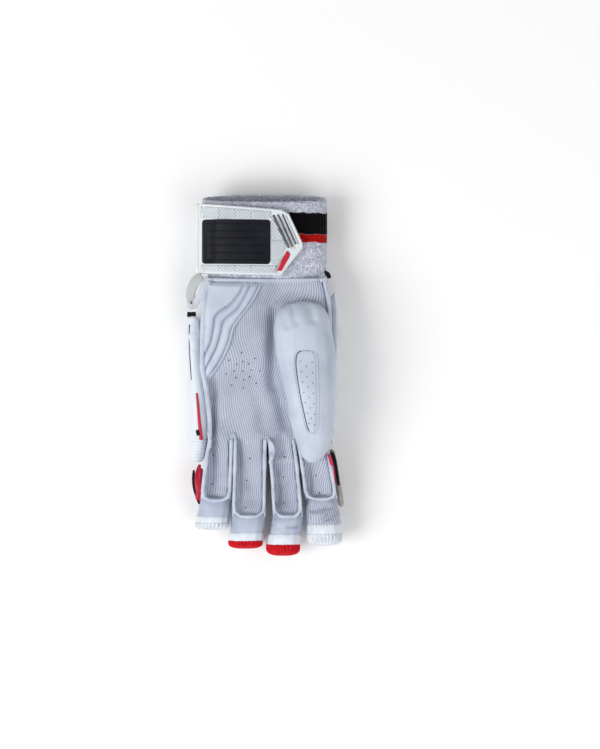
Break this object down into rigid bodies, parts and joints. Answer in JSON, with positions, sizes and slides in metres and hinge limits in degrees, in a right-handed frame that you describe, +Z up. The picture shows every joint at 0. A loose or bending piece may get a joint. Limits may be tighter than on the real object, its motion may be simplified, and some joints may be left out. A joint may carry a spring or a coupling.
{
  "type": "cricket batting glove",
  "caption": "Left-hand cricket batting glove lying palm up: leather palm and thumb, padded finger rolls, pleated tip caps, knitted cuff and wrist strap plate.",
  "frame": {"origin": "middle of the glove's footprint, on the surface that it lies on", "axes": "+Z up, palm side up; +Y from the fingers towards the cuff; +X towards the thumb"},
  "size_m": [0.1164, 0.2684, 0.0609],
  "materials": {
    "black_inlay": "satin black moulded rubber",
    "cap_red": "red pleated cloth",
    "cap_white": "white pleated cloth",
    "cuff_knit": "white knitted towelling with a black and a red band",
    "grained_leather": "white pimpled leather with wavy rows",
    "grey_inlay": "dark grey moulded rubber",
    "loop_webbing": "grey white woven tape",
    "padding_leather": "white synthetic leather over foam",
    "red_inlay": "red moulded rubber",
    "red_piping": "red synthetic leather",
    "shell_leather": "white synthetic leather",
    "smooth_leather": "white smooth soft leather",
    "strap_plate": "white moulded rubber with a fine herringbone",
    "strap_webbing": "white elastic webbing",
    "striped_tape": "black and grey striped tape with dark red piping"
  },
  "bodies": {
    "root": {"back_pad_1": "padding_leather", "back_pad_2": "padding_leather", "back_pad_3": "padding_leather", "finger_rim_index": "grained_leather", "finger_rim_little": "grained_leather", "finger_rim_middle": "grained_leather", "finger_rim_ring": "grained_leather", "finger_roll_index_1": "padding_leather", "finger_roll_index_2": "padding_leather", "finger_roll_little_1": "padding_leather", "finger_roll_little_2": "padding_leather", "finger_roll_middle_1": "padding_leather", "finger_roll_middle_2": "padding_leather", "finger_roll_ring_1": "padding_leather", "finger_roll_ring_2": "padding_leather", "finger_shell_index": "shell_leather", "finger_shell_little": "shell_leather", "finger_shell_middle": "shell_leather", "finger_shell_ring": "shell_leather", "hand_pad_1": "padding_leather", "hand_pad_2": "padding_leather", "hand_shell": "shell_leather", "heel_pad": "smooth_leather", "knuckle_pad_1": "padding_leather", "knuckle_pad_2": "padding_leather", "knuckle_pad_3": "padding_leather", "knuckle_pad_4": "padding_leather", "palm_leather": "grained_leather", "palm_rim_little": "grained_leather", "palm_rim_thumb": "grained_leather", "patch_bar": "red_inlay", "patch_panel": "black_inlay", "patch_stripe_1": "grey_inlay", "patch_stripe_2": "grey_inlay", "patch_stripe_3": "grey_inlay", "pull_loop": "loop_webbing", "side_pad_little": "padding_leather", "side_roll_index": "padding_leather", "side_strip_little": "red_piping", "strap_patch": "strap_plate", "thumb_back": "grained_leather", "thumb_front": "smooth_leather", "thumb_guard": "padding_leather", "thumb_patch": "smooth_leather", "tip_band_index": "padding_leather", "tip_band_little": "padding_leather", "tip_band_middle": "padding_leather", "tip_band_ring": "padding_leather", "tip_cap_index": "cap_white", "tip_cap_little": "cap_white", "tip_cap_middle": "cap_red", "tip_cap_ring": "cap_red", "tip_wrap_index": "smooth_leather", "tip_wrap_little": "smooth_leather", "tip_wrap_middle": "smooth_leather", "tip_wrap_ring": "smooth_leather", "wrist_cuff": "cuff_knit", "wrist_strap": "strap_webbing", "wrist_tape": "striped_tape"}
  },
  "joints": []
}
